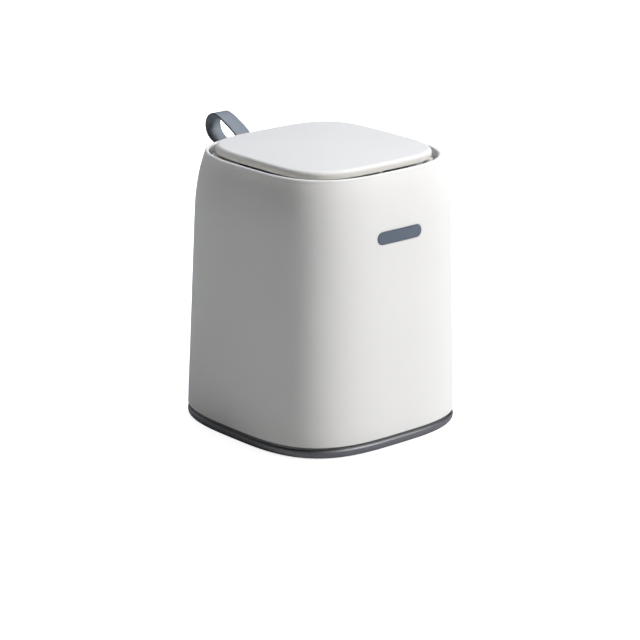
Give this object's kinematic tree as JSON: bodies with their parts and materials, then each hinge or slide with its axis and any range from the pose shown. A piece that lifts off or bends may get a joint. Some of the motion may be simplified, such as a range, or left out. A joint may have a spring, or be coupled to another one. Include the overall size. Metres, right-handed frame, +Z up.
{
  "type": "desktop trash can",
  "caption": "Small white desktop trash can with rounded-square walls, a recessed press-open lid, a slate strap loop at the back, a bare pill badge and a dark base tray.",
  "frame": {"origin": "centre of the flat underside of the base tray, 1 mm above the soles of the soft feet", "axes": "+Z up, -Y towards the front wall with the badge, +X towards the right side seen from the front"},
  "size_m": [0.1566, 0.1913, 0.1882],
  "materials": {
    "white_plastic": "satin white moulded plastic",
    "grey_plastic": "satin dark blue-grey moulded plastic",
    "inner_plastic": "matte pale grey moulded plastic",
    "catch_plastic": "smooth off-white engineering plastic",
    "slate_leather": "smooth slate-blue leather with painted edges",
    "slate_badge": "satin slate-blue plate with no lettering",
    "screw_steel": "zinc-plated steel",
    "pin_steel": "ground steel",
    "spring_steel": "drawn spring wire",
    "rivet_metal": "nickel-plated steel",
    "foot_rubber": "matte soft rubber"
  },
  "bodies": {
    "base": {"base_tray": "grey_plastic", "foot_front_left": "foot_rubber", "foot_front_right": "foot_rubber", "foot_back_left": "foot_rubber", "foot_back_right": "foot_rubber", "inner_bucket": "inner_plastic"},
    "shell": {"outer_shell": "white_plastic", "front_badge": "slate_badge", "top_frame": "inner_plastic", "frame_screw_front_left": "screw_steel", "frame_screw_front_right": "screw_steel", "frame_screw_back_left": "screw_steel", "frame_screw_back_right": "screw_steel", "hinge_pin_left": "pin_steel", "hinge_pin_right": "pin_steel", "lid_spring_left": "spring_steel", "lid_spring_right": "spring_steel", "catch_housing": "catch_plastic", "catch_screw_left": "screw_steel", "catch_screw_right": "screw_steel", "catch_spring": "spring_steel", "claw_pin_left": "pin_steel", "claw_pin_right": "pin_steel", "strap_end_inner": "slate_leather", "strap_end_outer": "slate_leather", "strap_rivet_upper": "rivet_metal", "strap_rivet_lower": "rivet_metal", "strap_backing_plate": "rivet_metal"},
    "lid": {"lid_cover": "white_plastic", "lid_inner_panel": "inner_plastic", "lid_striker": "catch_plastic"},
    "plunger": {"catch_plunger": "catch_plastic"},
    "claw_left": {"catch_claw_left": "catch_plastic"},
    "claw_right": {"catch_claw_right": "catch_plastic"},
    "strap": {"strap_loop": "slate_leather"}
  },
  "joints": [
    {"name": "shell_lift", "type": "slide", "parent": "base", "child": "shell", "axis": [0, 0, 1], "range_m": [0, 0.17]},
    {"name": "lid_hinge", "type": "hinge", "parent": "shell", "child": "lid", "pos_m": [0, 0.0576, 0.1802], "axis": [-1, 0, 0], "range_deg": [0, 85], "deforming": ["lid_spring_left", "lid_spring_right"]},
    {"name": "catch_press", "type": "slide", "parent": "shell", "child": "plunger", "axis": [0, 0, -1], "range_m": [0, 0.0018], "stiffness_N_per_m": 300, "springref_m": -0.002, "deforming": ["catch_spring"]},
    {"name": "claw_left_swing", "type": "hinge", "parent": "shell", "child": "claw_left", "pos_m": [-0.0056, -0.0542, 0.1645], "axis": [0, -1, 0], "range_deg": [0, 14]},
    {"name": "claw_right_swing", "type": "hinge", "parent": "shell", "child": "claw_right", "pos_m": [0.0056, -0.0542, 0.1645], "axis": [0, 1, 0], "range_deg": [0, 14]},
    {"name": "strap_flex", "type": "hinge", "parent": "shell", "child": "strap", "pos_m": [0, 0.07434, 0.15432], "axis": [1, 0, 0], "range_deg": [-40, 20], "stiffness_Nm_per_rad": 0.02}
  ],
  "couplings": [
    {"joint": "claw_left_swing", "follows": "catch_press", "rad_per_m": 135.75},
    {"joint": "claw_right_swing", "follows": "catch_press", "rad_per_m": 135.75}
  ]
}
